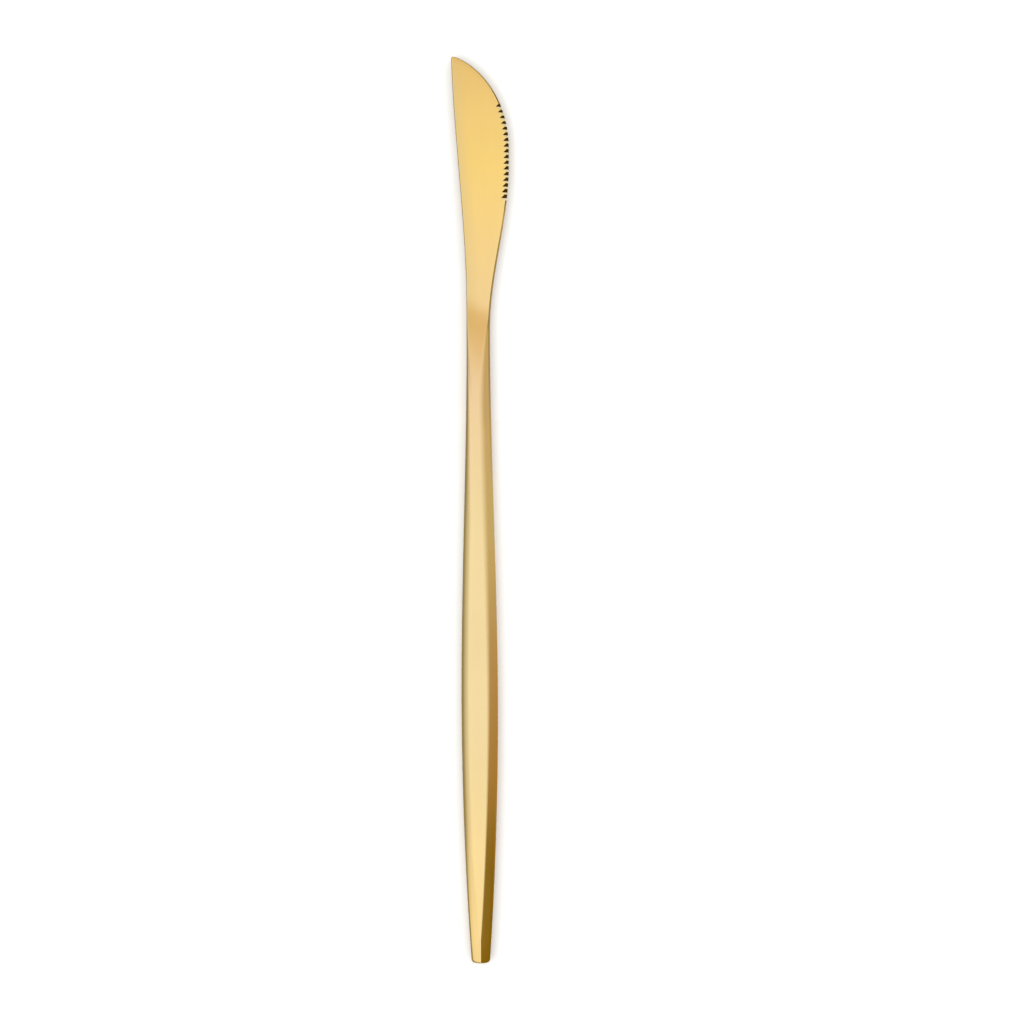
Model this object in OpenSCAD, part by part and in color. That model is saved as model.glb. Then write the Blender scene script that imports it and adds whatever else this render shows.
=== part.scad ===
// Table steak knife with a hollow handle, lying on its side.
// A forged blade with its neck and tang, two pressed half shells, their braze and the cement core.
// +Y points to the tip, +X to the cutting edge, +Z up.
// The origin is on the handle's axis, halfway along the knife, on the plane that the knife rests on.

/* [Overall] */
// Length from the tip to the end of the handle
overall_l = 230; // [220:1:245]
// Thickness of the handle between its two flat faces
handle_t = 4.6; // [4.2:0.1:5.6]

/* [Blade outline] */
// Length from the tip to the heel, where the edge has run into the neck
blade_l = 69.4; // [64:0.2:76]
// Distance from the tip to the belly, where the blade is widest
belly_from_tip = 23.1; // [18:0.1:28]
// Length of the straight stretch of edge at the belly
belly_l = 4.4; // [1:0.1:8]
// Reach of the cutting edge from the handle's axis at the belly
belly_reach = 7.95; // [6.5:0.05:10]
// How far the spine leans away from the edge between neck and tip
tip_lean = 3.65; // [2:0.05:5]
// Width of the blunt tip before its corners are rounded
tip_w = 1; // [0.9:0.05:2]
// Radius of the tip's rounded corners
tip_r = 0.4; // [0.2:0.05:0.4]
// Distance from the heel to the place where the spine starts to lean
lean_from_heel = 12; // [4:0.5:20]

/* [Blade section] */
// Thickness of the spine at the neck
spine_t = 1.8; // [1.4:0.1:2.4]
// Thickness of the spine at the tip
spine_tip_t = 1.1; // [0.9:0.05:1.4]
// Thickness of the blade just behind its edge bevel
behind_edge_t = 1; // [0.7:0.05:1.2]
// Thickness behind the edge bevel where the edge side starts to thicken into the neck
heel_edge_t = 1.5; // [1.2:0.05:1.6]
// Thickness of the edge itself
edge_t = 0.4; // [0.2:0.02:0.5]
// Width of the edge bevel at the tip
bevel_tip_w = 0.34; // [0.2:0.02:0.45]
// Width of the edge bevel at the heel
bevel_heel_w = 0.45; // [0.3:0.02:0.7]
// Width of the chamfer along the spine
spine_chamfer = 0.16; // [0.08:0.02:0.3]
// Softness of the blade's ridges
blade_ridge_soft = 0.04; // [0.02:0.01:0.08]

/* [Serration] */
// Number of ground teeth gaps
groove_n = 17; // [5:1:20]
// Spacing of the gaps along the knife
groove_pitch = 1.45; // [1.2:0.05:1.6]
// Distance from the tip to the first gap
groove_from_tip = 12.8; // [11:0.2:16]
// Length of a gap from the edge inwards
groove_l = 1.35; // [0.8:0.05:1.8]
// Slant of a gap towards the tip, in degrees from square to the knife; below zero towards the handle
groove_slant = -3; // [-10:1:10]
// Lean of a gap's wide wall, on the side of the tip, in degrees from upright
groove_tip_angle = 70; // [60:1:74]
// Lean of a gap's narrow wall, on the side of the handle, in degrees from upright
groove_heel_angle = 59; // [50:1:66]
// Steel left under a gap at the edge
groove_floor_t = 0.05; // [0.03:0.01:0.12]

/* [Neck] */
// Width of the neck
neck_w = 5.9; // [5.6:0.1:7]
// Length over which the blade's faces start to thicken before the heel
flare_before_heel = 9.5; // [5:0.5:14]
// How much nearer to the handle the edge side starts to thicken
edge_flare_lag = 2.5; // [0:0.5:4]
// Length over which they reach the handle's thickness behind the heel
flare_behind_heel = 19.6; // [16:0.2:24]
// Share of the thickening over which its slope builds up
flare_lead = 0.22; // [0.1:0.02:0.5]
// Distance from the heel to the joint between the neck and the half shells
joint_from_heel = 11.5; // [9:0.5:14]

/* [Handle] */
// Widest place of the handle
bulge_w = 9.24; // [8:0.1:11]
// Distance from the end of the handle to its widest place
bulge_from_butt = 66.6; // [50:0.5:80]
// Width of the handle's end before its corners are rounded
butt_w = 4.6; // [4.2:0.1:6]
// Radius of the end's rounded corners, seen from above
butt_r = 0.9; // [0.4:0.1:1.4]
// Rounding of the end, seen from the side
butt_lip = 0.4; // [0.2:0.05:0.6]
// Length behind the heel over which the spine's chamfer opens into a facet
spine_open_l = 48; // [30:1:75]
// Width of a side facet at the neck
facet_neck_w = 2.05; // [1.8:0.05:2.4]
// Width of a side facet at the end of the handle
facet_butt_w = 2.65; // [2.3:0.05:3]
// Height of the keel, where a facet of one face meets that of the other, before it is rounded
keel_t = 1.5; // [1.2:0.05:1.8]
// Rounding of the keel at the neck, measured along the facet
keel_neck_soft = 1.5; // [0.6:0.05:1.6]
// Rounding of the keel at the end of the handle
keel_butt_soft = 0.9; // [0.4:0.05:1.2]
// Softness of the facet's ridge at the neck, measured along the facet
ridge_neck_soft = 1.15; // [0.6:0.05:1.3]
// Softness of the facet's ridge at the end of the handle
ridge_butt_soft = 0.22; // [0.1:0.02:0.5]

/* [Inside the handle] */
// Wall of the half shells
shell_wall = 0.7; // [0.55:0.05:0.8]
// Solid length at the end of the handle
butt_solid_l = 9; // [7:0.5:14]
// Length over which the hollow closes in front of that
hollow_close_l = 4; // [2:0.5:8]
// Thickness of the braze ring between shoulder and shells
braze_t = 0.1; // [0.05:0.01:0.2]
// Gap between the spigot and the shells that the braze is drawn into
spigot_fit = 0.05; // [0.03:0.01:0.1]
// Length of the spigot inside the shells
spigot_l = 7; // [4:0.5:12]
// Length of the braze bead's leg inside each keel
bead_w = 0.5; // [0.3:0.05:0.7]
// Clearance round the cement and the braze beads
core_fit = 0.02; // [0.01:0.01:0.05]

/* [Tang] */
// Length of the tang behind the spigot
tang_l = 62; // [40:1:80]
// Width of the tang
tang_w = 2.6; // [2:0.1:3]
// Width of the tang's tip
tang_tip_w = 1.6; // [1.2:0.1:2]
// Thickness of the tang
tang_t = 1.4; // [1:0.1:1.8]
// Chamfer along the tang
tang_chamfer = 0.18; // [0.1:0.02:0.3]
// Number of keying notches along the tang
notch_n = 4; // [2:1:6]
// Depth of a keying notch on each side
notch_d = 0.35; // [0.2:0.05:0.4]
// Length of a keying notch
notch_l = 3; // [2:0.5:4]
// Length of the slope at each end of a notch
notch_slope = 0.6; // [0.3:0.1:0.9]

/* [Fineness] */
// Steps along the half shells
shell_steps = 44; // [24:2:60]
// Steps along the blade between belly and heel
blade_steps = 18; // [10:1:30]
// Steps round the curve of the tip
tip_steps = 12; // [8:1:20]
// Steps across each soft ridge
ridge_steps = 4; // [3:1:6]
// Steps round each side of a keel
keel_steps = 3; // [2:1:5]
// Steps round the corners of the handle's end and of the tip
end_steps = 4; // [3:1:6]

/* [Hidden] */

// Least flat left between two ridges
least_flat = 0.12;
// Share of a facet that its soft ridge and its rounded keel may take, and of the keel that stays flat
ridge_share = 0.45;
keel_share = 0.5;
keel_flat_share = 0.2;
// Share of a width that a corner or a bevel may take
corner_share = 0.4;
bevel_share = 0.25;
// Share of the flare before the heel at which the edge's bevel starts to open into a facet
facet_open_share = 0.33;
// Room that a cutter needs past the steel
past = 1;

// Places along the knife
tip_y = overall_l / 2;
butt_y = -overall_l / 2;
belly_y = tip_y - belly_from_tip;
sweep_y = belly_y - belly_l;
heel_y = tip_y - blade_l;
lean_y = heel_y + lean_from_heel;
flare_start_y = heel_y + flare_before_heel;
edge_flare_y = flare_start_y - edge_flare_lag;
flare_end_y = heel_y - flare_behind_heel;
facet_open_y = heel_y + flare_before_heel * facet_open_share;
spine_open_end_y = heel_y - spine_open_l;
joint_y = heel_y - joint_from_heel;
mouth_y = joint_y - braze_t;
spigot_end_y = joint_y - spigot_l;
tang_end_y = spigot_end_y - tang_l;
bulge_y = butt_y + bulge_from_butt;
hollow_end_y = butt_y + butt_solid_l;
hollow_full_y = hollow_end_y + hollow_close_l;
mid_z = handle_t / 2;

// The tip's curve is an ellipse that is a little longer than the stretch it is used on
tip_ellipse_ratio = 1.058;
tip_ellipse_l = belly_from_tip * tip_ellipse_ratio;
tip_right_x = -neck_w / 2 - tip_lean + tip_w;
tip_ellipse_w = (belly_reach - tip_right_x) / (1 - sqrt(1 - pow(belly_from_tip / tip_ellipse_l, 2)));

// Rounded corners, limited by the width that carries them
tip_corner = min(tip_r, corner_share * tip_w);
butt_corner = min(butt_r, corner_share * butt_w);

gold_blade = "#E9BE6B";
gold_shell = "#E6CB8F";
braze_metal = "#C9A24E";
cement_grey = "#B9B3A6";

// Plain helpers
function mix(a, b, t) = a + (b - a) * t;
function limit(t) = max(0, min(1, t));
function ease(t) = let(u = limit(t)) u * u * (3 - 2 * u);
function ease_out(t, lead = 0) =
    let(u = limit(t)) u < lead ? u * u / lead : 1 - pow(1 - u, 2) / (1 - lead);
function share(y, from, to) = limit((from - y) / (from - to));
function towards(from, to, d) = from + (to - from) * (d / norm(to - from));
function bend(a, c, b, n) =
    [for (i = [0:n]) let(t = i / n) a * pow(1 - t, 2) + c * 2 * t * (1 - t) + b * t * t];

// Outline of the handle: half its width, with the end's corners rounded
function end_cut(y) = let(d = limit(1 - (y - butt_y) / butt_corner)) 1 - sqrt(1 - d * d);
function swell(y) = y > bulge_y
    ? mix(neck_w, bulge_w, ease(share(y, heel_y, bulge_y))) / 2
    : mix(bulge_w, butt_w, pow(share(y, bulge_y, butt_y), 2)) / 2;
function half_w(y) = swell(y) - butt_corner * end_cut(y);

// Outline of the blade: its spine on the left and its edge on the right, with the tip's corners rounded
function tip_cut(y) = let(d = limit(1 - (tip_y - y) / tip_corner)) tip_corner * (1 - sqrt(1 - d * d));
function lean(y) = let(t = share(y, lean_y, tip_y)) tip_lean * (t + ease(t)) / 2;
function spine_x(y) = tip_cut(y) - half_w(y) - lean(y);
function tip_curve(y) = belly_reach - tip_ellipse_w * (1 - sqrt(1 - pow((y - belly_y) / tip_ellipse_l, 2)));
function edge_x(y) = y > belly_y ? tip_curve(y) - tip_cut(y)
    : y > heel_y ? mix(belly_reach, neck_w / 2, ease(share(y, sweep_y, heel_y)))
    : half_w(y);

// Thickness: the blade's faces rise to the handle's through the neck, the edge side a little later
function flare(y, from) = ease_out(share(y, from, flare_end_y), flare_lead);
function handle_h(y) = mid_z - butt_lip * end_cut(y);
function spine_h(y) = y < flare_end_y ? handle_h(y)
    : mix(mix(spine_tip_t, spine_t, share(y, tip_y, heel_y)) / 2, mid_z, flare(y, flare_start_y));
function edge_blade_t(y) = mix(behind_edge_t, heel_edge_t, ease(share(y, sweep_y, edge_flare_y)));
function edge_h(y) = y < flare_end_y ? handle_h(y)
    : mix(edge_blade_t(y) / 2, mid_z, flare(y, edge_flare_y));

// Facets: the edge's bevel opens into the handle's facet in the neck, the spine's chamfer over a longer way
function opening(y) = ease_out(share(y, facet_open_y, flare_end_y));
function spine_opening(y) = share(y, flare_start_y, spine_open_end_y);
function bevel_room(y) = bevel_share * (edge_x(y) - spine_x(y));
function bevel(y) = min(mix(bevel_tip_w, bevel_heel_w, share(y, tip_y, heel_y)), bevel_room(y));
function chamfer(y) = min(spine_chamfer, bevel_room(y));
function handle_facet(y) =
    min(mix(facet_neck_w, facet_butt_w, share(y, heel_y, butt_y)), half_w(y) - least_flat / 2);
function edge_facet(y) = mix(bevel(y), handle_facet(y), opening(y));
function spine_facet(y) = mix(chamfer(y), handle_facet(y), spine_opening(y));
function keel_h(y) = (keel_t - butt_lip * end_cut(y)) / 2;
function edge_keel(y) = mix(edge_t / 2, keel_h(y), opening(y));
function spine_keel(y) = mix(spine_h(y) - chamfer(y), keel_h(y), spine_opening(y));
function softness(y) = y > flare_end_y
    ? mix(blade_ridge_soft, ridge_neck_soft, opening(y))
    : mix(ridge_neck_soft, ridge_butt_soft, ease(share(y, flare_end_y, butt_y)));
function keel_softness(y) = y > flare_end_y
    ? mix(blade_ridge_soft, keel_neck_soft, opening(y))
    : mix(keel_neck_soft, keel_butt_soft, share(y, flare_end_y, butt_y));

// Upper half of a section, from its left keel to its right keel, as [x, z] from the middle plane
function half_section(xl, xr, hl, hr, fl, fr, kl, kr, soft, keel_soft) =
    let(
        a = [xl, kl],
        b = [xl + fl, hl],
        c = [xr - fr, hr],
        d = [xr, kr],
        soft_l = min(soft, ridge_share * norm(b - a), ridge_share * norm(c - b)),
        soft_r = min(soft, ridge_share * norm(d - c), ridge_share * norm(c - b)),
        foot_l = [xl, max(kl - keel_soft, keel_flat_share * kl)],
        foot_r = [xr, max(kr - keel_soft, keel_flat_share * kr)]
    )
    concat(
        bend(foot_l, a, towards(a, b, min(keel_soft, keel_share * norm(b - a))), keel_steps),
        bend(towards(b, a, soft_l), b, towards(b, c, soft_l), ridge_steps),
        bend(towards(c, b, soft_r), c, towards(c, d, soft_r), ridge_steps),
        bend(towards(d, c, min(keel_soft, keel_share * norm(d - c))), d, foot_r, keel_steps)
    );
function skin(y) = half_section(spine_x(y), edge_x(y), spine_h(y), edge_h(y), spine_facet(y), edge_facet(y),
    spine_keel(y), edge_keel(y), softness(y), keel_softness(y));

// Hollow of the handle, inset from its skin: [keel x, ridge x, height]
function facet_angle(y) = atan2(edge_h(y) - edge_keel(y), edge_facet(y));
function inset(y, wall) =
    let(
        angle = facet_angle(y),
        facet_foot = half_w(y) - wall * sin(angle) + (edge_keel(y) - wall * cos(angle)) / tan(angle),
        foot = min(half_w(y) - wall, facet_foot),
        depth = min(edge_h(y) - wall, (foot - least_flat / 2) * tan(angle))
    )
    [foot, foot - depth / tan(angle), depth];

// Rings of points, each at one place along the knife
function at_y(section, y) = [for (p = section) [p[0], y, mid_z + p[1]]];
function whole(half) = concat(half, [for (i = [len(half) - 1:-1:0]) [half[i][0], -half[i][1]]]);
function whole_ring(half, y) = at_y(whole(half), y);
function steps(from, to, n) = [for (i = [0:n]) mix(from, to, i / n)];

// A solid through rings that have the same number of points
module loft(rings) {
    n = len(rings[0]);
    last = len(rings) - 1;
    sides = [
        for (r = [0:last - 1], i = [0:n - 1])
            let(j = (i + 1) % n, a = r * n + i, b = r * n + j, c = (r + 1) * n + j, d = (r + 1) * n + i)
                each [[a, b, c], [a, c, d]]
    ];
    start = [for (i = [n - 1:-1:0]) i];
    end = [for (i = [0:n - 1]) last * n + i];
    polyhedron([for (ring = rings) each ring], concat(sides, [start], [end]), convexity = 6);
}

// Blade, from the tip to its joint with the shells
tip_round_ys = [for (i = [0:end_steps]) tip_y - tip_corner * (1 - cos(90 * i / end_steps))];
tip_curve_ys = [for (i = [1:tip_steps]) mix(tip_y - tip_corner, belly_y, i / tip_steps)];
belly_ys = [for (i = [1:blade_steps]) mix(belly_y, flare_start_y, i / blade_steps)];
neck_ys = [for (i = [1:blade_steps]) mix(flare_start_y, joint_y, i / blade_steps)];
blade_rings = [for (y = concat(tip_round_ys, tip_curve_ys, belly_ys, neck_ys)) whole_ring(skin(y), y)];

// Spigot that fills the mouth of the shells, and the tang behind it
function plug_half(y, wall) =
    let(s = inset(y, wall), side = s[0] - s[1])
    half_section(-s[0], s[0], s[2], s[2], side, side, core_fit, core_fit, spigot_fit, spigot_fit);
function spigot_ring(y) = whole_ring(plug_half(y, shell_wall + spigot_fit), y);
function tang_half(w, grow) =
    let(h = tang_t / 2 + grow, x = w / 2 + grow, c = tang_chamfer, soft = c * ridge_share / 2)
    half_section(-x, x, h, h, c, c, h - c, h - c, soft, soft);
function tang_width(y) = mix(tang_w, tang_tip_w, share(y, spigot_end_y, tang_end_y));
function notch_y(i) = mix(spigot_end_y, tang_end_y, (i + 1) / (notch_n + 1)) + notch_l / 2;
notch_steps = [[0, 0], [notch_slope, 1], [notch_l - notch_slope, 1], [notch_l, 0]];
function tang_ring(y, cut, grow) = whole_ring(tang_half(tang_width(y) - 2 * cut, grow), y);
function tang_rings(grow) = concat(
    [tang_ring(spigot_end_y, 0, grow)],
    [
        for (i = [0:notch_n - 1], step = notch_steps)
            tang_ring(notch_y(i) - step[0], step[1] * notch_d, grow)
    ],
    [tang_ring(tang_end_y - grow, 0, grow)]
);
spigot_rings = [for (y = [joint_y, spigot_end_y]) spigot_ring(y)];

// One slanted V cut from the upper face, deepest at the edge, with a wide and a narrow wall
module groove(y) {
    depth = behind_edge_t / 2 + edge_t / 2 - groove_floor_t;
    dip = atan2(depth, groove_l);
    reach = groove_l / cos(dip) + past;
    translate([edge_x(y), y, mid_z - edge_t / 2 + groove_floor_t])
        rotate([0, 0, groove_slant])
            rotate([0, dip, 0])
                rotate([90, 0, -90])
                    translate([0, 0, -past])
                        linear_extrude(reach + past)
                            polygon([
                                [0, 0],
                                [past * tan(groove_heel_angle), past],
                                [-past * tan(groove_tip_angle), past]
                            ]);
}

module blade() {
    color(gold_blade)
        difference() {
            loft(concat(blade_rings, spigot_rings, tang_rings(0)));
            for (i = [0:groove_n - 1])
                groove(tip_y - groove_from_tip - i * groove_pitch);
        }
}

// Half shell: the solid half of the handle less its hollow, whose roof comes down before the end
function solid_half(y) = concat([[-half_w(y), 0]], skin(y), [[half_w(y), 0]]);
function hollow_half(h, roof) =
    let(foot = h[0] + past * (h[0] - h[1]) / h[2])
    [[-foot, -past], [-h[1], roof], [h[1], roof], [foot, -past]];
function hollow_ring(y) = let(h = inset(y, shell_wall)) hollow_half(h, h[2]);
shell_ys = concat(
    steps(mouth_y, butt_y + butt_corner, shell_steps),
    [for (i = [1:end_steps]) butt_y + butt_corner * (1 - sin(90 * i / end_steps))]
);
hollow_ys = steps(mouth_y, hollow_full_y, shell_steps / 2);

module half_shell() {
    difference() {
        loft([for (y = shell_ys) at_y(solid_half(y), y)]);
        loft(concat(
            [at_y(hollow_ring(mouth_y), mouth_y + past)],
            [for (y = hollow_ys) at_y(hollow_ring(y), y)],
            [at_y(hollow_half(inset(hollow_full_y, shell_wall), -past / 2), hollow_end_y)]
        ));
    }
}

module handle_shell_front() {
    color(gold_shell) half_shell();
}

module handle_shell_rear() {
    color(gold_shell)
        translate([0, 0, mid_z])
            mirror([0, 0, 1])
                translate([0, 0, -mid_z])
                    half_shell();
}

// Braze bead along the inside of a keel
bead_from_y = spigot_end_y - core_fit;
core_ys = steps(bead_from_y, hollow_full_y, shell_steps / 2);
function bead_ring(y, side) =
    let(h = inset(y, shell_wall + core_fit), leg = bead_w * h[2] / (h[0] - h[1]))
    [
        [side * h[0], y, mid_z],
        [side * (h[0] - bead_w), y, mid_z - side * leg],
        [side * (h[0] - bead_w), y, mid_z + side * leg]
    ];

module seam_braze() {
    color(braze_metal)
        for (side = [-1, 1])
            loft([for (y = core_ys) bead_ring(y, side)]);
}

module neck_braze() {
    color(braze_metal)
        difference() {
            loft([for (y = [joint_y, mouth_y]) whole_ring(skin(y), y)]);
            loft([for (y = [joint_y + past, mouth_y - past]) whole_ring(plug_half(mouth_y, shell_wall), y)]);
        }
}

// Cement core round the tang, cut back at the keels for the beads
function core_half(y) =
    let(
        h = inset(y, shell_wall + core_fit),
        cut = bead_w + core_fit,
        x = h[0] - cut,
        z = cut * h[2] / (h[0] - h[1])
    )
    [[-x, z], [-h[1], h[2]], [h[1], h[2]], [x, z]];

module tang_cement() {
    color(cement_grey)
        difference() {
            loft([for (y = core_ys) whole_ring(core_half(y), y)]);
            loft(tang_rings(core_fit));
        }
}

blade();
handle_shell_front();
handle_shell_rear();
seam_braze();
neck_braze();
tang_cement();
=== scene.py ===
"""Looks of a gold table steak knife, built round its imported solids.

The blade and the two half shells are lofted again, finer, from the sizes of the solids, and stand for them.
The braze and the cement keep their solids and get finishes of their own.
Sizes are in millimetres until a mesh is made; meshes, lights and the camera are in metres.
"""

import logging
import math
from dataclasses import dataclass
from enum import Enum
from functools import partial
from typing import NamedTuple

import bpy
import numpy as np
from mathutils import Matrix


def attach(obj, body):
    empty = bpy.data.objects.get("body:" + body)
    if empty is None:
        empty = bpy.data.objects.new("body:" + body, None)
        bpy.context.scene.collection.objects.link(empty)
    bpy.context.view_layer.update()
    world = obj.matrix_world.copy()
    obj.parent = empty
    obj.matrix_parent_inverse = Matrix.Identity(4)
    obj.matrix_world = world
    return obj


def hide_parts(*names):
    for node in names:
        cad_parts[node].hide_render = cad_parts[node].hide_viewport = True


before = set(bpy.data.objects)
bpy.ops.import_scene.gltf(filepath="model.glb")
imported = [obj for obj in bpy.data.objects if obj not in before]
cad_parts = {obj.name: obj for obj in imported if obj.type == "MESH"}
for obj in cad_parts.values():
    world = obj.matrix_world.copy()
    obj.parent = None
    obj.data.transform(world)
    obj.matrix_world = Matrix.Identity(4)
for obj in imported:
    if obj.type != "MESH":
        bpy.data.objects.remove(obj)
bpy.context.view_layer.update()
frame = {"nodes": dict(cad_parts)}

log = logging.getLogger("steak_knife")

MM = 0.001
ROOT = "root"
WHITE = (1.0, 1.0, 1.0, 1.0)
# An edge that turns by more than this stays sharp, in degrees
SHARP_TURN = 24
# Attributes that the coat and the teeth gaps read; the coat's spine attribute carries painted shade
RIDGE_WEAR, PAINTED_SPINE_SHADE, GROUND = "ridge_wear", "spine_nearness", "ground"
# A noise texture stays mostly between these values
NOISE_LOW, NOISE_HIGH = 0.3, 0.7

# Two values: left and right, seen from above with the tip away from the viewer, or lowest and highest
Pair = tuple[float, float]
Point = tuple[float, float, float]
# Place and hex colour of each stop of a ramp, in rising order
Stops = tuple[tuple[float, str], ...]


class Zone(Enum):
    """What a face of a piece is finished with, as the index of its material."""

    COAT = 0
    BARE = 1


class Side(Enum):
    """Which way a half shell of the handle faces, as the sign of its height."""

    FRONT = 1
    REAR = -1


def limit(t: float) -> float:
    """Keeps a share between 0 and 1."""
    return min(1.0, max(0.0, t))


def mix(a: float, b: float, t: float) -> float:
    """Goes from a to b as t goes from 0 to 1."""
    return a + (b - a) * t


def ease(t: float) -> float:
    """Starts and ends a change gently, as t goes from 0 to 1."""
    return t * t * (3 - 2 * t)


def ease_out(t: float, lead: float = 0) -> float:
    """Ends a change gently, after a lead over which it gathers, as t goes from 0 to 1."""
    return t * t / lead if t < lead else 1 - (1 - t) ** 2 / (1 - lead)


def share(y: float, start: float, end: float) -> float:
    """Gives how far y has come on the way from start down to end, from 0 to 1."""
    return limit((start - y) / (start - end))


def rounding(distance: float, corner: float) -> float:
    """Gives how much a round corner takes off a side at a distance from the end."""
    d = limit(1 - distance / corner)
    return corner * (1 - math.sqrt(1 - d * d))


def bend(a: np.ndarray, corner: np.ndarray, b: np.ndarray, steps: int) -> np.ndarray:
    """Rounds a corner with a quadratic curve.

    Args:
        a: Where the curve leaves the first side.
        corner: The corner that it rounds.
        b: Where it meets the second side.
        steps: Number of steps along it.

    Returns:
        The points along the curve, one a row.
    """
    t = np.linspace(0, 1, steps + 1)[:, None]
    return (1 - t) ** 2 * a + 2 * t * (1 - t) * corner + t**2 * b


def towards(a: np.ndarray, b: np.ndarray, distance: float) -> np.ndarray:
    """Gives the point that lies a distance from a on the way to b."""
    return a + (b - a) * (distance / np.linalg.norm(b - a))


@dataclass(frozen=True)
class Fineness:
    """Steps of the lofts: across a ridge, round a keel, over a flat face, and along the knife."""

    ridge: int = 10
    keel: int = 8
    flat: int = 6
    tip_round: int = 10
    tip_curve: int = 70
    belly: int = 110
    neck: int = 84
    shell: int = 300
    end_round: int = 12


class Section(NamedTuple):
    """Sizes of a section across the knife, each on its left and its right.

    They are the outlines, half the thickness at the ridges, the widths of the facets, half the heights of
    the keels, and how softly the ridges and the keels are rounded.
    """

    xs: Pair
    heights: Pair
    facets: Pair
    keels: Pair
    soft: Pair
    keel_soft: Pair


@dataclass(frozen=True)
class KnifeForm:
    """Sizes of the knife and the lines that run along it, in millimetres.

    They are those of the solids, but the left ridge and keel of the handle stay softer towards the butt.
    """

    overall_l: float = 230
    handle_t: float = 4.6
    blade_l: float = 69.4
    belly_from_tip: float = 23.1
    belly_l: float = 4.4
    belly_reach: float = 7.95
    tip_lean: float = 3.65
    tip_w: float = 1
    tip_corner: float = 0.4
    tip_ellipse_ratio: float = 1.058
    lean_from_heel: float = 12
    spine_t: float = 1.8
    spine_tip_t: float = 1.1
    behind_edge_t: float = 1
    heel_edge_t: float = 1.5
    edge_t: float = 0.4
    bevel_tip_w: float = 0.34
    bevel_heel_w: float = 0.45
    spine_chamfer: float = 0.16
    blade_ridge_soft: float = 0.04
    neck_w: float = 5.9
    flare_before_heel: float = 9.5
    flare_lead: float = 0.22
    edge_flare_lag: float = 2.5
    flare_behind_heel: float = 19.6
    facet_open_share: float = 0.33
    spine_open_l: float = 48
    joint_from_heel: float = 11.5
    bulge_w: float = 9.24
    bulge_from_butt: float = 66.6
    butt_w: float = 4.6
    butt_corner: float = 0.9
    butt_lip: float = 0.4
    facet_neck_w: float = 2.05
    facet_butt_w: float = 2.65
    keel_t: float = 1.5
    keel_neck_soft: float = 1.5
    keel_butt_soft: float = 0.9
    ridge_neck_soft: float = 1.15
    ridge_butt_soft: float = 0.22
    ridge_share: float = 0.45
    keel_share: float = 0.5
    keel_flat_share: float = 0.2
    bevel_share: float = 0.25
    least_flat: float = 0.12
    shell_wall: float = 0.7
    butt_solid_l: float = 9
    hollow_close_l: float = 4
    hollow_past: float = 1
    braze_t: float = 0.1
    spigot_fit: float = 0.05
    spigot_l: float = 7
    core_fit: float = 0.02
    tang_l: float = 62
    tang_w: float = 2.6
    tang_tip_w: float = 1.6
    tang_t: float = 1.4
    tang_chamfer: float = 0.18
    notch_n: int = 4
    notch_d: float = 0.35
    notch_l: float = 3
    notch_slope: float = 0.6
    steps: Fineness = Fineness()

    @property
    def tip_y(self) -> float:
        """Place of the tip."""
        return self.overall_l / 2

    @property
    def butt_y(self) -> float:
        """Place of the handle's end."""
        return -self.overall_l / 2

    @property
    def belly_y(self) -> float:
        """Place where the blade is widest."""
        return self.tip_y - self.belly_from_tip

    @property
    def sweep_y(self) -> float:
        """Place where the edge starts to sweep in to the neck."""
        return self.belly_y - self.belly_l

    @property
    def heel_y(self) -> float:
        """Place where the edge has run into the neck."""
        return self.tip_y - self.blade_l

    @property
    def flare_start_y(self) -> float:
        """Place where the spine's side starts to thicken."""
        return self.heel_y + self.flare_before_heel

    @property
    def flare_end_y(self) -> float:
        """Place where both sides have the handle's thickness."""
        return self.heel_y - self.flare_behind_heel

    @property
    def joint_y(self) -> float:
        """Place of the blade's shoulder."""
        return self.heel_y - self.joint_from_heel

    @property
    def spigot_end_y(self) -> float:
        """Place where the spigot ends and the tang starts."""
        return self.joint_y - self.spigot_l

    @property
    def bulge_y(self) -> float:
        """Place where the handle is widest."""
        return self.butt_y + self.bulge_from_butt

    @property
    def mid_z(self) -> float:
        """Height of the middle plane over the table."""
        return self.handle_t / 2

    def end_cut(self, y: float) -> float:
        """Gives how much the butt's rounded corners take off each side."""
        return rounding(y - self.butt_y, self.butt_corner)

    def half_w(self, y: float) -> float:
        """Gives half the handle's width, which swells from the neck and narrows to the rounded end."""
        swollen = mix(self.neck_w, self.bulge_w, ease(share(y, self.heel_y, self.bulge_y)))
        return mix(swollen, self.butt_w, share(y, self.bulge_y, self.butt_y) ** 2) / 2 - self.end_cut(y)

    def tip_cut(self, y: float) -> float:
        """Gives how much the tip's rounded corners take off each side."""
        return rounding(self.tip_y - y, self.tip_corner)

    def spine_x(self, y: float) -> float:
        """Gives the left outline, the spine of the blade."""
        t = share(y, self.heel_y + self.lean_from_heel, self.tip_y)
        return self.tip_cut(y) - self.half_w(y) - self.tip_lean * (t + ease(t)) / 2

    def edge_x(self, y: float) -> float:
        """Gives the right outline: part of an ellipse at the tip, the belly, the sweep in, and the handle.

        Args:
            y: Place along the knife.

        Returns:
            The x of the outline there.
        """
        if y > self.belly_y:
            length = self.belly_from_tip * self.tip_ellipse_ratio
            tip_right = -self.neck_w / 2 - self.tip_lean + self.tip_w
            width = (self.belly_reach - tip_right) / (1 - math.sqrt(1 - self.tip_ellipse_ratio**-2))
            drop = width * (1 - math.sqrt(1 - ((y - self.belly_y) / length) ** 2))
            return self.belly_reach - drop - self.tip_cut(y)
        if y > self.heel_y:
            return mix(self.belly_reach, self.neck_w / 2, ease(share(y, self.sweep_y, self.heel_y)))
        return self.half_w(y)

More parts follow.
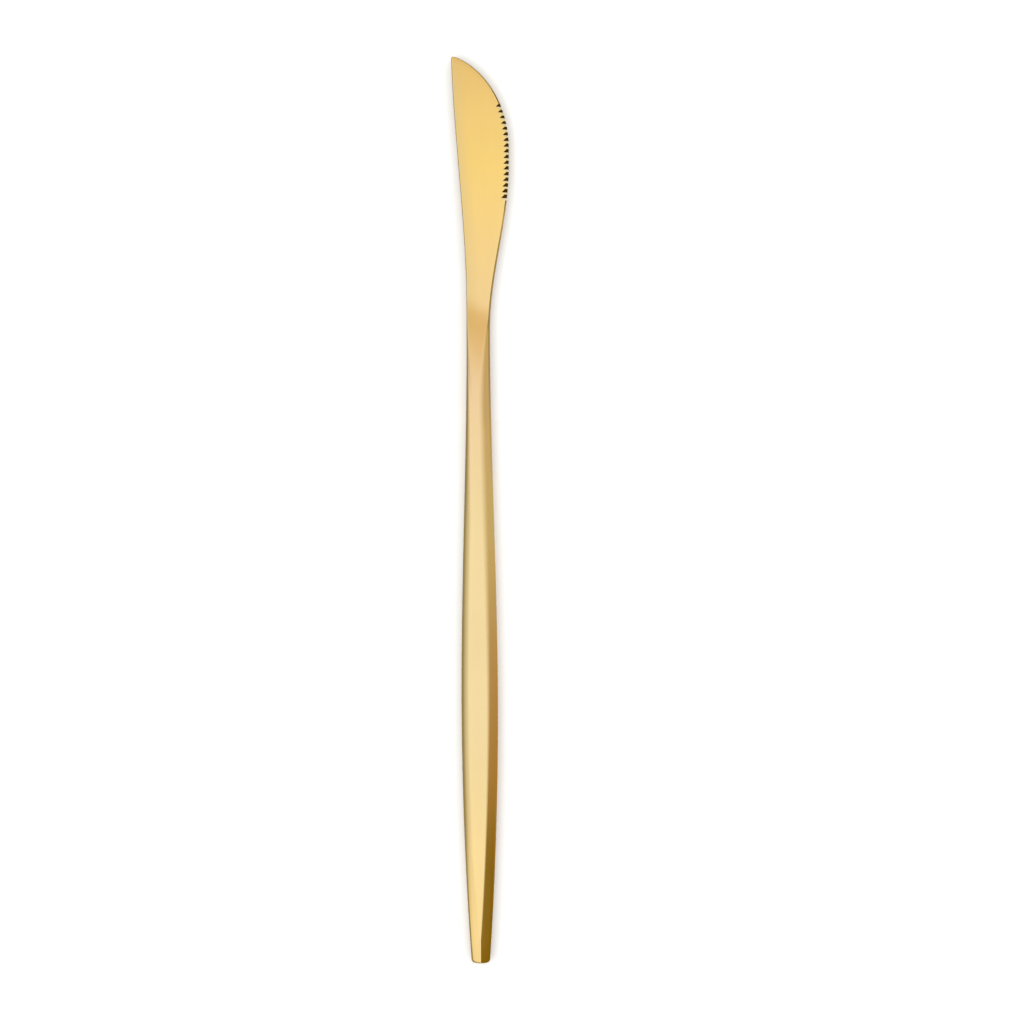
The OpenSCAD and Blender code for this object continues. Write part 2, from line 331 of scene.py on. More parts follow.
    def section(self, y: float) -> Section:
        """Works out a section, whose chamfer and bevel on the blade open into the handle's facets.

        The handle's right side gets sharper towards its end, and its left side stays as it is by the neck.

        Args:
            y: Place along the knife.

        Returns:
            The section there.
        """
        xs = self.spine_x(y), self.edge_x(y)
        from_tip = share(y, self.tip_y, self.heel_y)
        spine_t = mix(self.spine_tip_t, self.spine_t, from_tip)
        edge_flare_y = self.flare_start_y - self.edge_flare_lag
        edge_t = mix(self.behind_edge_t, self.heel_edge_t, ease(share(y, self.sweep_y, edge_flare_y)))
        lip = self.butt_lip * self.end_cut(y) / self.butt_corner
        heights = tuple(
            mix(blade_t / 2, self.mid_z, ease_out(share(y, start, self.flare_end_y), self.flare_lead)) - lip
            for blade_t, start in ((spine_t, self.flare_start_y), (edge_t, edge_flare_y)))
        facet_start = self.heel_y + self.flare_before_heel * self.facet_open_share
        spine_open = share(y, self.flare_start_y, self.heel_y - self.spine_open_l)
        edge_open = ease_out(share(y, facet_start, self.flare_end_y))
        room = self.bevel_share * (xs[1] - xs[0])
        chamfer = min(self.spine_chamfer, room)
        bevel = min(mix(self.bevel_tip_w, self.bevel_heel_w, from_tip), room)
        facet = mix(self.facet_neck_w, self.facet_butt_w, share(y, self.heel_y, self.butt_y))
        facet = min(facet, self.half_w(y) - self.least_flat / 2)
        keel = (self.keel_t - lip) / 2
        to_butt = share(y, self.flare_end_y, self.butt_y)
        soft = mix(self.blade_ridge_soft, self.ridge_neck_soft, edge_open)
        keel_soft = mix(self.blade_ridge_soft, self.keel_neck_soft, edge_open)
        return Section(
            xs, heights,
            facets=(mix(chamfer, facet, spine_open), mix(bevel, facet, edge_open)),
            keels=(mix(heights[0] - chamfer, keel, spine_open), mix(self.edge_t / 2, keel, edge_open)),
            soft=(soft, mix(soft, self.ridge_butt_soft, ease(to_butt))),
            keel_soft=(keel_soft, mix(keel_soft, self.keel_butt_soft, to_butt)))

    def half(self, section: Section) -> np.ndarray:
        """Draws the upper half of a section, from its left keel to its right keel.

        Args:
            section: Its sizes.

        Returns:
            Points as rows of x and height over the middle plane.
        """
        xs, heights, facets, keels, soft, keel_soft = section
        a, d = (np.array([x, k]) for x, k in zip(xs, keels))
        b = np.array([xs[0] + facets[0], heights[0]])
        c = np.array([xs[1] - facets[1], heights[1]])
        left, top, right = (np.linalg.norm(q - p) for p, q in ((a, b), (b, c), (c, d)))
        soft_l, soft_r = (
            min(s, self.ridge_share * side, self.ridge_share * top) for s, side in zip(soft, (left, right)))
        foot_l, foot_r = (
            np.array([p[0], max(p[1] - s, self.keel_flat_share * p[1])]) for p, s in zip((a, d), keel_soft))
        b_end, c_start = towards(b, c, soft_l), towards(c, b, soft_r)
        return np.concatenate([
            bend(foot_l, a, towards(a, b, min(keel_soft[0], self.keel_share * left)), self.steps.keel),
            bend(towards(b, a, soft_l), b, b_end, self.steps.ridge),
            np.linspace(b_end, c_start, self.steps.flat + 1)[1:-1],
            bend(c_start, c, towards(c, d, soft_r), self.steps.ridge),
            bend(towards(d, c, min(keel_soft[1], self.keel_share * right)), d, foot_r, self.steps.keel),
        ])

    def even_half(self, x: float, height: float, facet: float, keel: float, soft: float) -> np.ndarray:
        """Draws the upper half of a section that is the same on the left and on the right."""
        return self.half(Section((-x, x), *((size, size) for size in (height, facet, keel, soft, soft))))

    def skin(self, y: float) -> np.ndarray:
        """Draws the upper half of the knife's section at y."""
        return self.half(self.section(y))

    def inset(self, y: float, wall: float) -> Point:
        """Gives the handle's section less a wall.

        Args:
            y: Place along the knife.
            wall: Thickness of the wall.

        Returns:
            The x of its keel, the x of its ridge, and its height.
        """
        half_w, section = self.half_w(y), self.section(y)
        height, keel = section.heights[1], section.keels[1]
        angle = math.atan2(height - keel, section.facets[1])
        slope = math.tan(angle)
        facet_foot = half_w - wall * math.sin(angle) + (keel - wall * math.cos(angle)) / slope
        foot = min(half_w - wall, facet_foot)
        depth = min(height - wall, (foot - self.least_flat / 2) * slope)
        return foot, foot - depth / slope, depth

    def at(self, section: np.ndarray, y: float) -> np.ndarray:
        """Puts a section in its place along the knife."""
        return np.column_stack([section[:, 0], np.full(len(section), y), self.mid_z + section[:, 1]])

    def whole(self, half: np.ndarray, y: float) -> np.ndarray:
        """Mirrors the upper half of a section to a closed ring at y."""
        return self.at(np.concatenate([half, half[::-1] * [1, -1]]), y)


def lofted(name: str, rings: list[np.ndarray]) -> bpy.types.Mesh:
    """Makes a closed mesh through rings that have the same number of points.

    Args:
        name: Name of the mesh.
        rings: Points of each ring in millimetres, from one end to the other.

    Returns:
        The mesh in metres, with its faces outwards.
    """
    count, size = len(rings), len(rings[0])
    points = np.concatenate(rings) * MM
    index = np.arange(count * size).reshape(count, size)
    after = np.roll(index, -1, axis=1)
    quads = np.stack([index[:-1], after[:-1], after[1:], index[1:]], axis=-1).reshape(-1, 4)
    faces = quads.tolist() + [index[0, ::-1].tolist(), index[-1].tolist()]
    a, b, c, d = (points[quads[:, k]] for k in range(4))
    volume = np.einsum("ij,ij->", a, np.cross(b, c)) + np.einsum("ij,ij->", a, np.cross(c, d))
    if volume < 0:
        faces = [face[::-1] for face in faces]
    mesh = bpy.data.meshes.new(name)
    mesh.from_pydata(points.tolist(), [], faces)
    mesh.update()
    return mesh


def placed(name: str, mesh: bpy.types.Mesh) -> bpy.types.Object:
    """Puts a mesh into the scene.

    Args:
        name: Name of the object.
        mesh: Its mesh, which holds its place.

    Returns:
        The object, at the origin.
    """
    obj = bpy.data.objects.new(name, mesh)
    bpy.context.scene.collection.objects.link(obj)
    return obj


def smoothed(mesh: bpy.types.Mesh) -> None:
    """Shades a mesh smoothly, apart from its sharp edges."""
    mesh.shade_smooth()
    mesh.set_sharp_from_angle(angle=math.radians(SHARP_TURN))


def linear(colour: str) -> tuple[float, float, float, float]:
    """Turns an sRGB hex colour to linear light."""
    parts = [int(colour[k:k + 2], 16) / 255 for k in (1, 3, 5)]
    return (*[c / 12.92 if c <= 0.04045 else ((c + 0.055) / 1.055) ** 2.4 for c in parts], 1.0)


def add_node(tree: bpy.types.NodeTree, kind: str, inputs: dict | None = None,
             **settings: object) -> bpy.types.Node:
    """Adds a node with its settings, values and links.

    Args:
        tree: Tree that gets the node.
        kind: Blender's name of the kind of node.
        inputs: What each input gets, by its name or number: a value, a socket, or a node's first output.
        settings: Properties of the node.

    Returns:
        The node.
    """
    node = tree.nodes.new(kind)
    for name, value in settings.items():
        setattr(node, name, value)
    for name, value in (inputs or {}).items():
        into = node.inputs[name] if isinstance(name, int) else next(
            socket for socket in node.inputs if socket.enabled and socket.name == name)
        if isinstance(value, bpy.types.Node):
            value = next(socket for socket in value.outputs if socket.enabled)
        if isinstance(value, bpy.types.NodeSocket):
            tree.links.new(value, into)
        else:
            into.default_value = value
    return node


def per_mm(size: float) -> float:
    """Turns the size of a pattern in millimetres into a texture's scale over metres."""
    return 1 / (size * MM)


def set_stops(ramp: bpy.types.Node, stops: Stops) -> None:
    """Sets a ramp's colours.

    Args:
        ramp: The ramp's node.
        stops: Its stops, at places from 0 to 1.
    """
    elements = ramp.color_ramp.elements
    elements.remove(elements[1])
    for _ in stops[1:]:
        elements.new(1.0)
    for element, (place, colour) in zip(elements, stops):
        element.position = place
        element.color = linear(colour)


def new_material(name: str) -> tuple[bpy.types.Material, partial, bpy.types.NodeSocket]:
    """Makes a material.

    Args:
        name: Its name.

    Returns:
        The material, the function that adds a node to it, and the socket of its Object coordinates.
    """
    material = bpy.data.materials.new(name)
    material.use_nodes = True
    material.node_tree.nodes.clear()
    add = partial(add_node, material.node_tree)
    return material, add, add("ShaderNodeTexCoord").outputs["Object"]


@dataclass(frozen=True)
class GoldCoat:
    """Stainless steel under a titanium nitride coat, laid on by vapour deposition over a fine satin grind.

    The eye gets an even, warm gold without a clear coat's double gloss. The tint drifts a little with the
    coat's thickness: warmer on the blade and paler along the handle. It is a little darker over the neck,
    and darker and duller by the blade's spine, as painted shade. Handling has burnished the ridges paler.
    """

    name: str = "gold_coated_satin_steel"
    # Tints from the butt over the handle, the neck and the blade to the tip; the stop at the neck is
    # darker, as painted shade
    tints: Stops = ((0.06, "#FDDD98"), (0.26, "#F4DBA3"), (0.5, "#F4DBA3"), (0.64, "#F3D2A2"),
                    (0.88, "#FFDC85"), (1.0, "#F4D186"))
    # Painted shade: a darker, duller tint by the blade's spine
    spine_shade_tint: str = "#EBCF90"
    spine_shade_falloff: float = 2
    worn_tint: str = "#FFE9B4"
    satin: float = 0.17
    satin_spread: float = 0.025
    cloud_mm: float = 26
    cloud_shade: Pair = (0.97, 1.02)
    # The satin's lines are about 0.05 mm apart, too fine for the render, so they are drawn wider
    grain_mm: float = 0.3
    grain_l_mm: float = 14
    grain_detail: float = 3
    grain_depth_mm: float = 0.004
    grain_bump: float = 0.06

    def material(self, form: KnifeForm) -> bpy.types.Material:
        """Builds the material.

        Args:
            form: The knife, whose length the tint follows.

        Returns:
            The material.
        """
        material, add, place = new_material(self.name)
        axes = add("ShaderNodeSeparateXYZ", {0: place})
        along = add("ShaderNodeMapRange", {
            "Value": axes.outputs["Y"], "From Min": form.butt_y * MM, "From Max": form.tip_y * MM})
        face_tint = add("ShaderNodeValToRGB", {"Fac": along})
        set_stops(face_tint, self.tints)
        cloud = add("ShaderNodeTexNoise", {"Vector": place, "Scale": per_mm(self.cloud_mm)})
        shade = add("ShaderNodeMapRange", {
            "Value": cloud, "From Min": NOISE_LOW, "From Max": NOISE_HIGH,
            "To Min": self.cloud_shade[0], "To Max": self.cloud_shade[1]})
        clouded = add("ShaderNodeMix", {"Factor": 1.0, "A": face_tint, "B": shade},
                      data_type="RGBA", blend_type="MULTIPLY")
        # Painted shade by the blade's spine, mixed in by the stored attribute
        spine_shade_attr = add("ShaderNodeAttribute", attribute_name=PAINTED_SPINE_SHADE)
        spine_shade_share = add("ShaderNodeMath", {0: spine_shade_attr.outputs["Fac"], 1: self.spine_shade_falloff},
                   operation="POWER")
        spine_shaded = add("ShaderNodeMix", {"Factor": spine_shade_share, "A": clouded, "B": linear(self.spine_shade_tint)},
                    data_type="RGBA")
        stretched = add("ShaderNodeMapping", {
            "Vector": place,
            "Scale": (per_mm(self.grain_mm), per_mm(self.grain_l_mm), per_mm(self.grain_mm))})
        grain = add("ShaderNodeTexNoise", {
            "Vector": stretched, "Scale": 1.0, "Detail": self.grain_detail})
        wear = add("ShaderNodeAttribute", attribute_name=RIDGE_WEAR)
        worn = add("ShaderNodeMath", {0: wear.outputs["Fac"], 1: grain}, operation="MULTIPLY")
        tint = add("ShaderNodeMix", {"Factor": worn, "A": spine_shaded, "B": linear(self.worn_tint)},
                   data_type="RGBA")
        rough = add("ShaderNodeMapRange", {
            "Value": grain, "From Min": NOISE_LOW, "From Max": NOISE_HIGH,
            "To Min": self.satin - self.satin_spread, "To Max": self.satin + self.satin_spread})
        bump = add("ShaderNodeBump", {
            "Strength": self.grain_bump, "Distance": self.grain_depth_mm * MM, "Height": grain})
        surface = add("ShaderNodeBsdfPrincipled", {
            "Base Color": tint, "Metallic": 1.0, "Roughness": rough, "Normal": bump})
        add("ShaderNodeOutputMaterial", {"Surface": surface})
        return material


@dataclass(frozen=True)
class GroundSteel:
    """Steel in the gaps between the teeth, cut through the coat by a narrow wheel.

    The wall that the wheel cuts is straw cream, lifted above the steel's own colour as painted highlight.
    The wall on the tip side of each gap, which faces the heel, is dark brown as painted shade.
    """

    name: str = "ground_tooth_gap"
    # Painted highlight on the cut walls: a straw cream above the steel's own colour, streaked with the
    # stain
    tint: str = "#FFF4C4"
    stain: str = "#F6DC96"
    # Painted shade on the walls on the tip side of each gap
    painted_shade: str = "#7A6820"
    rough: float = 0.14
    # The wheel's lines are too fine for the render, so they are drawn wider
    line_mm: float = 0.12
    line_l_mm: float = 1.44
    line_depth_mm: float = 0.01
    line_bump: float = 0.2
    # A wall takes the painted highlight or the painted shade once its normal leans this far along the knife
    lean: float = 0.1

    def material(self) -> bpy.types.Material:
        """Builds the material.

        Returns:
            The material.
        """
        material, add, place = new_material(self.name)
        stretched = add("ShaderNodeMapping", {
            "Vector": place,
            "Scale": (per_mm(self.line_l_mm), per_mm(self.line_mm), per_mm(self.line_mm))})
        lines = add("ShaderNodeTexNoise", {"Vector": stretched, "Scale": 1.0})
        # Painted highlight: the cut walls' straw cream, streaked along the wheel's lines
        bright = add("ShaderNodeMix", {"Factor": lines, "A": linear(self.stain), "B": linear(self.tint)},
                     data_type="RGBA")
        lie = add("ShaderNodeNewGeometry")
        facing = add("ShaderNodeSeparateXYZ", {0: lie.outputs["Normal"]})
        # Walls whose normal leans towards the heel take the painted shade
        shade_side = add("ShaderNodeMapRange", {
            "Value": facing.outputs["Y"], "From Min": self.lean, "From Max": -self.lean})
        tint = add("ShaderNodeMix", {"Factor": shade_side, "A": bright, "B": linear(self.painted_shade)},
                   data_type="RGBA")
        bump = add("ShaderNodeBump", {
            "Strength": self.line_bump, "Distance": self.line_depth_mm * MM, "Height": lines})
        surface = add("ShaderNodeBsdfPrincipled", {
            "Base Color": tint, "Metallic": 1.0, "Roughness": self.rough, "Normal": bump})
        add("ShaderNodeOutputMaterial", {"Surface": surface})
        return material


@dataclass(frozen=True)
class RawMetal:
    """Metal that is left as it was made, mottled between a dull and a bright tint."""

    name: str
    tint: str
    dull_tint: str
    rough: float
    dull_rough: float
    mottle_mm: float
    detail: float
    distortion: float
    depth_mm: float
    bump: float

    def material(self) -> bpy.types.Material:
        """Builds the material.

        Returns:
            The material.
        """
        material, add, place = new_material(self.name)
        mottle = add("ShaderNodeTexNoise", {
            "Vector": place, "Scale": per_mm(self.mottle_mm), "Detail": self.detail,
            "Distortion": self.distortion})
        tint = add("ShaderNodeMix", {
            "Factor": mottle, "A": linear(self.dull_tint), "B": linear(self.tint)}, data_type="RGBA")
        rough = add("ShaderNodeMapRange", {
            "Value": mottle, "To Min": self.dull_rough, "To Max": self.rough})
        bump = add("ShaderNodeBump", {
            "Strength": self.bump, "Distance": self.depth_mm * MM, "Height": mottle})
        surface = add("ShaderNodeBsdfPrincipled", {
            "Base Color": tint, "Metallic": 1.0, "Roughness": rough, "Normal": bump})
        add("ShaderNodeOutputMaterial", {"Surface": surface})
        return material


# Stainless steel that no coat reaches: forged on the tang, pressed inside the shells, grey and dull
BARE_STEEL = RawMetal(
    "bare_stainless_steel", tint="#B9B4AA", dull_tint="#8F8A80", rough=0.32, dull_rough=0.55,
    mottle_mm=1.6, detail=4, distortion=0, depth_mm=0.02, bump=0.15)
# Brazing alloy inside the handle, as it set: yellow metal with flow ripples and dull oxide
SET_BRAZE = RawMetal(
    "set_brazing_alloy", tint="#DDB967", dull_tint="#8A6A38", rough=0.25, dull_rough=0.6,
    mottle_mm=0.7, detail=3, distortion=0.6, depth_mm=0.03, bump=0.4)


@dataclass(frozen=True)
class CastCement:
    """Cutlery cement, poured hot round the tang and set: matt grey, sand grains, small pores in painted
    shade.
    """

    name: str = "cast_cutlery_cement"
    paste: str = "#A49B8B"
    sand: str = "#7C7366"
    # Painted shade in the pores' holes, which have no depth of their own
    pore: str = "#4E483F"
    rough: float = 0.95
    grain_mm: float = 0.35
    grain_detail: float = 4
    grain_depth_mm: float = 0.05
    grain_bump: float = 0.5
    pore_mm: float = 0.9
    # Where a pore's floor ends and its rim starts, as shares of the distance between pores
    pore_wall: Pair = (0.12, 0.2)

    def material(self) -> bpy.types.Material:
        """Builds the material.

        Returns:
            The material.
        """
        material, add, place = new_material(self.name)
        grains = add("ShaderNodeTexNoise", {
            "Vector": place, "Scale": per_mm(self.grain_mm), "Detail": self.grain_detail})
        pores = add("ShaderNodeTexVoronoi", {"Vector": place, "Scale": per_mm(self.pore_mm)})
        # Painted shade: the middle of each pore is drawn dark
        pore_shade_mask = add("ShaderNodeMapRange", {
            "Value": pores, "From Min": self.pore_wall[0], "From Max": self.pore_wall[1],
            "To Min": 1.0, "To Max": 0.0})
        sandy = add("ShaderNodeMix", {"Factor": grains, "A": linear(self.paste), "B": linear(self.sand)},
                    data_type="RGBA")
        tint = add("ShaderNodeMix", {"Factor": pore_shade_mask, "A": sandy, "B": linear(self.pore)},
                   data_type="RGBA")
        bump = add("ShaderNodeBump", {
            "Strength": self.grain_bump, "Distance": self.grain_depth_mm * MM, "Height": grains})
        surface = add("ShaderNodeBsdfPrincipled", {
            "Base Color": tint, "Roughness": self.rough, "Normal": bump})
        add("ShaderNodeOutputMaterial", {"Surface": surface})
        return material


@dataclass(frozen=True)
class Finishes:
    """The materials of the knife."""

    coat: bpy.types.Material
    ground: bpy.types.Material
    bare: bpy.types.Material
    braze: bpy.types.Material
    cement: bpy.types.Material

    def lay_on(self, mesh: bpy.types.Mesh, bare: np.ndarray) -> None:
        """Coats a mesh, apart from the faces that stay bare steel.

        Args:
            mesh: Mesh of a piece.
            bare: For each face, whether it stays bare.
        """
        for material in (self.coat, self.bare):
            mesh.materials.append(material)
        zones = np.where(bare, Zone.BARE.value, Zone.COAT.value).astype(np.int32)
        mesh.polygons.foreach_set("material_index", zones)


@dataclass(frozen=True)
class CoatWearAndShade:
    """Where the coat is pale on the ridges that hands burnish, and where the blade's spine gets painted
    shade, in millimetres.
    """

    ridge_most: float = 0.2
    ridge_w: float = 0.35
    loss_by_softness: float = 1.5
    spine_shade_w: float = 4.5
    steps: int = 800

    def mark(self, mesh: bpy.types.Mesh, form: KnifeForm) -> None:
        """Stores how worn each point is, most on a sharp ridge, and how much painted shade it gets by the
        blade's spine.

        Args:
            mesh: Mesh of a piece, in metres.
            form: The knife, whose ridges and spine are followed.
        """
        points = np.empty(len(mesh.vertices) * 3, np.float32)
        mesh.vertices.foreach_get("co", points)
        points = points.reshape(-1, 3) / MM
        x, y = points[:, 0], points[:, 1]
        places = np.linspace(form.butt_y, form.tip_y, self.steps)
        sections = [form.section(p) for p in places]
        wear = np.zeros(len(points))
        for k, inwards in ((0, 1), (1, -1)):
            ridge = [section.xs[k] + inwards * section.facets[k] for section in sections]
            away = np.abs(x - np.interp(y, places, ridge))
            soft = np.interp(y, places, [section.soft[k] for section in sections])
            loss = 1 + self.loss_by_softness * soft
            wear = np.maximum(wear, self.ridge_most * np.exp(-(away / self.ridge_w) ** 2) / loss)
        # Painted shade, strongest at the blade's spine, fading away from it and off over the neck towards
        # the shoulder
        from_spine = x - np.interp(y, places, [section.xs[0] for section in sections])
        on_blade = np.interp(y, (form.joint_y, form.flare_start_y), (0, 1))
        spine_shade_amount = np.clip(1 - from_spine / self.spine_shade_w, 0, 1) * on_blade
        for name, values in ((RIDGE_WEAR, wear), (PAINTED_SPINE_SHADE, spine_shade_amount)):
            attribute = mesh.attributes.new(name, "FLOAT", "POINT")
            attribute.data.foreach_set("value", values.astype(np.float32))


@dataclass(frozen=True)
class Teeth:
    """Row of teeth that a wheel ground into the edge from the front face, in millimetres and degrees."""

    gap_n: int = 17
    pitch: float = 1.45
    from_tip: float = 12.8
    gap_l: float = 1.35
    slant: float = -3
    tip_angle: float = 70
    heel_angle: float = 59
    floor_t: float = 0.05
    past: float = 1
    # How far beside the knife the rays that find the edge start, and the distance that welds the wedges
    beside: float = 50
    weld: float = 0.0001

    def cut(self, blade: bpy.types.Object, form: KnifeForm, finish: bpy.types.Material) -> None:
        """Cuts the gaps between the teeth out of the blade.

        Args:
            blade: Object of the blade, whose mesh is replaced.
            form: The knife.
            finish: Material of the gaps.
        """
        depth = form.behind_edge_t / 2 + form.edge_t / 2 - self.floor_t
        dip = math.atan2(depth, self.gap_l)
        values = {
            "Gaps": self.gap_n,
            "Step": -self.pitch * MM,
            "First gap": (form.tip_y - self.from_tip) * MM,
            "Middle height": form.mid_z * MM,
            "Floor height": (form.mid_z - form.edge_t / 2 + self.floor_t) * MM,
            "Ray start": self.beside * MM,
            "Ray length": 2 * self.beside * MM,
            "Dip": dip,
            "Slant": math.radians(self.slant),
            "Inner end": -(self.gap_l / math.cos(dip) + self.past) * MM,
            "Past": self.past * MM,
            "Tip wall": self.past * math.tan(math.radians(self.tip_angle)) * MM,
            "Heel wall": -self.past * math.tan(math.radians(self.heel_angle)) * MM,
            "Weld": self.weld * MM,
            "Finish": finish,
        }
        tree = self._tree(values)
        modifier = blade.modifiers.new("teeth", "NODES")
        modifier.node_group = tree
        for item in tree.interface.items_tree:
            if item.in_out == "INPUT" and item.name in values:
                modifier[item.identifier] = values[item.name]
        cut = blade.evaluated_get(bpy.context.evaluated_depsgraph_get())
        mesh = bpy.data.meshes.new_from_object(cut)
        blade.modifiers.remove(modifier)
        blade.data = mesh

    @staticmethod
    def _tree(values: dict[str, object]) -> bpy.types.NodeTree:
        """Builds the tree that sets a wedge at each gap along the edge and cuts them out.

        Args:
            values: The tree's inputs by name; their types give the sockets' kinds.

        Returns:
            The tree.
        """
        tree = bpy.data.node_groups.new("ground_teeth", "GeometryNodeTree")
        kinds = {int: "NodeSocketInt", float: "NodeSocketFloat", bpy.types.Material: "NodeSocketMaterial"}
        tree.interface.new_socket("Blade", in_out="INPUT", socket_type="NodeSocketGeometry")
        for name, value in values.items():
            tree.interface.new_socket(name, in_out="INPUT", socket_type=kinds[type(value)])
        tree.interface.new_socket("Blade", in_out="OUTPUT", socket_type="NodeSocketGeometry")
        add = partial(add_node, tree)
        size = add("NodeGroupInput").outputs

        # A point for each gap, moved on to the edge by a ray from the side
        start = add("ShaderNodeCombineXYZ", {
            "X": size["Ray start"], "Y": size["First gap"], "Z": size["Middle height"]})
        step = add("ShaderNodeCombineXYZ", {"Y": size["Step"]})
        row = add("GeometryNodeMeshLine", {
            "Count": size["Gaps"], "Start Location": start, "Offset": step}, mode="OFFSET")
        here = add("GeometryNodeInputPosition")
        ray = add("GeometryNodeRaycast", {
            "Target Geometry": size["Blade"], "Source Position": here,
            "Ray Direction": (-1.0, 0.0, 0.0), "Ray Length": size["Ray length"]})
        hit = add("ShaderNodeSeparateXYZ", {0: ray.outputs["Hit Position"]})
        place = add("ShaderNodeCombineXYZ", {
            "X": hit.outputs["X"], "Y": hit.outputs["Y"], "Z": size["Floor height"]})
        on_edge = add("GeometryNodeSetPosition", {"Geometry": row, "Position": place})

        # A block from -1 to 1, made a wedge: sharp edge down, wide towards the tip, steep behind
        block = add("GeometryNodeMeshCube", {"Size": (2.0, 2.0, 2.0)})
        corner = add("ShaderNodeSeparateXYZ", {0: here})
        length = add("ShaderNodeMapRange", {
            "Value": corner.outputs["X"], "From Min": -1.0,
            "To Min": size["Inner end"], "To Max": size["Past"]})
        across = add("ShaderNodeMapRange", {
            "Value": corner.outputs["Y"], "From Min": -1.0,
            "To Min": size["Heel wall"], "To Max": size["Tip wall"]})
        top = add("ShaderNodeMapRange", {"Value": corner.outputs["Z"], "From Min": -1.0})
        width = add("ShaderNodeMath", {0: across, 1: top}, operation="MULTIPLY")
        height = add("ShaderNodeMath", {0: size["Past"], 1: top}, operation="MULTIPLY")
        wedge_point = add("ShaderNodeCombineXYZ", {"X": length, "Y": width, "Z": height})
        shaped = add("GeometryNodeSetPosition", {"Geometry": block, "Position": wedge_point})
        wedge = add("GeometryNodeMergeByDistance", {"Geometry": shaped, "Distance": size["Weld"]})

        # The wedges cut out of the blade, with the finish on the walls that they leave
        turn = add("ShaderNodeCombineXYZ", {"Y": size["Dip"], "Z": size["Slant"]})
        wedges = add("GeometryNodeInstanceOnPoints", {
            "Points": on_edge, "Instance": wedge, "Rotation": turn})
        solid = add("GeometryNodeRealizeInstances", {"Geometry": wedges})
        marked = add("GeometryNodeStoreNamedAttribute", {
            "Geometry": solid, "Name": GROUND, "Value": True}, data_type="BOOLEAN", domain="FACE")
        cut = add("GeometryNodeMeshBoolean", {
            "Mesh 1": size["Blade"], "Mesh 2": marked, "Self Intersection": True},
            operation="DIFFERENCE", solver="EXACT")
        real = add("GeometryNodeRealizeInstances", {"Geometry": cut})
        ground = add("GeometryNodeInputNamedAttribute", {"Name": GROUND}, data_type="BOOLEAN")
        finished = add("GeometryNodeSetMaterial", {
            "Geometry": real, "Selection": ground, "Material": size["Finish"]})
        add("NodeGroupOutput", {0: finished})
        return tree


@dataclass
class Blade:
    """Forged blade with its neck, shoulder, spigot and notched tang."""

    form: KnifeForm
    finishes: Finishes
    teeth: Teeth
    piece: bpy.types.Object | None = None

    def build(self) -> None:
        """Lofts the blade from the tip to the tang's tip and cuts its teeth."""
        form, steps = self.form, self.form.steps
        rounded = [form.tip_y - form.tip_corner * (1 - math.cos(math.pi / 2 * k / steps.tip_round))
                   for k in range(steps.tip_round)]
        stretches = [
            np.linspace(form.tip_y - form.tip_corner, form.belly_y, steps.tip_curve, endpoint=False),
            np.linspace(form.belly_y, form.flare_start_y, steps.belly, endpoint=False),
            np.linspace(form.flare_start_y, form.joint_y, steps.neck + 1),
        ]
        skin = [form.whole(form.skin(y), y) for y in np.concatenate([rounded, *stretches])]
        mesh = lofted("blade_loft", skin + self._spigot() + self._tang())
        middles = np.array([face.center.y for face in mesh.polygons])
        self.finishes.lay_on(mesh, middles < (form.joint_y - form.core_fit) * MM)
        self.piece = placed("blade_forged", mesh)
        self.teeth.cut(self.piece, form, self.finishes.ground)

    def dress(self) -> None:
        """Shades the blade, marks its coat and puts it in the place of its solid."""
        smoothed(self.piece.data)
        CoatWearAndShade().mark(self.piece.data, self.form)
        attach(self.piece, ROOT)
        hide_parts("blade")

    def _spigot(self) -> list[np.ndarray]:
        """Draws the spigot that fills the mouth of the half shells.

        Returns:
            Its rings, from the shoulder on.
        """
        form, rings = self.form, []
        for y in (form.joint_y, form.spigot_end_y):
            foot, ridge, depth = form.inset(y, form.shell_wall + form.spigot_fit)
            half = form.even_half(foot, depth, foot - ridge, form.core_fit, form.spigot_fit)
            rings.append(form.whole(half, y))
        return rings

    def _tang(self) -> list[np.ndarray]:
        """Draws the tang with its keying notches.

        Returns:
            Its rings, from the spigot on.
        """
        form, rings = self.form, []
        start_y, end_y = form.spigot_end_y, form.spigot_end_y - form.tang_l
        places = [(start_y, 0.0)]
        for k in range(form.notch_n):
            start = mix(start_y, end_y, (k + 1) / (form.notch_n + 1)) + form.notch_l / 2
            places += [(start, 0.0), (start - form.notch_slope, form.notch_d),
                       (start - form.notch_l + form.notch_slope, form.notch_d), (start - form.notch_l, 0.0)]
        places.append((end_y, 0.0))
        height, chamfer = form.tang_t / 2, form.tang_chamfer
        for y, cut in places:
            x = mix(form.tang_w, form.tang_tip_w, share(y, start_y, end_y)) / 2 - cut
            half = form.even_half(x, height, chamfer, height - chamfer, chamfer * form.ridge_share / 2)
            rings.append(form.whole(half, y))
        return rings


